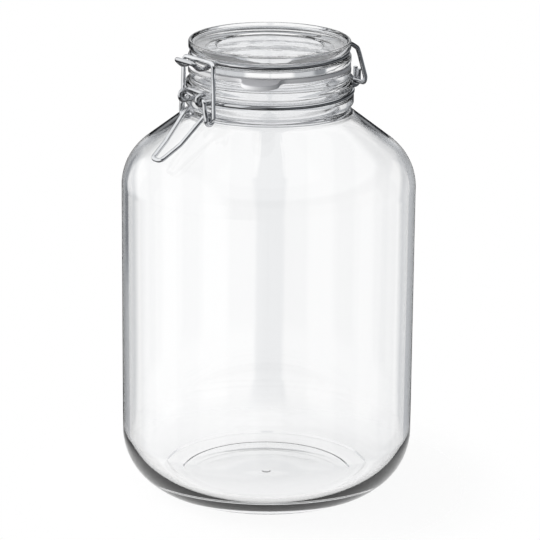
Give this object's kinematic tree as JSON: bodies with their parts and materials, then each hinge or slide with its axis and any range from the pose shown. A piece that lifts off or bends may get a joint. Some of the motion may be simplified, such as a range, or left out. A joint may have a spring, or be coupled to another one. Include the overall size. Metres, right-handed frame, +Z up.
{
  "type": "clamp lid storage jar",
  "caption": "Tall round clear glass storage jar with a hinged glass lid, a rubber gasket and a toggle wire clamp.",
  "frame": {"origin": "centre of the foot, on the surface that the jar stands on", "axes": "+Z up along the jar's axis, -Y towards the clamp, +Y towards the lid's hinge"},
  "size_m": [0.181, 0.1806, 0.285],
  "materials": {
    "clear_glass": "polished clear",
    "lid_glass": "polished clear",
    "white_rubber": "matt off-white",
    "neck_steel": "bright drawn wire",
    "lid_steel": "bright drawn wire",
    "lever_steel": "bright drawn wire",
    "bail_steel": "bright drawn wire"
  },
  "bodies": {
    "jar": {"glass_jar": "clear_glass", "neck_wire": "neck_steel"},
    "lid": {"glass_lid": "lid_glass", "rubber_gasket": "white_rubber", "lid_wire": "lid_steel"},
    "lever": {"lever_handle": "lever_steel"},
    "bail": {"bail_loop": "bail_steel"}
  },
  "joints": [
    {"name": "lid_hinge", "type": "hinge", "parent": "jar", "child": "lid", "pos_m": [0, 0.0669, 0.24966], "axis": [-1, 0, 0], "range_deg": [0, 170]},
    {"name": "lever_pivot", "type": "hinge", "parent": "jar", "child": "lever", "pos_m": [0, -0.0589, 0.25646], "axis": [-1, 0, 0], "range_deg": [0, 115]},
    {"name": "bail_pivot", "type": "hinge", "parent": "lever", "child": "bail", "pos_m": [0, -0.0548, 0.24441], "axis": [-1, 0, 0], "range_deg": [-98.9, 0]}
  ],
  "couplings": [
    {"joint": "bail_pivot", "follows": "lever_pivot", "ratio": -0.86}
  ]
}
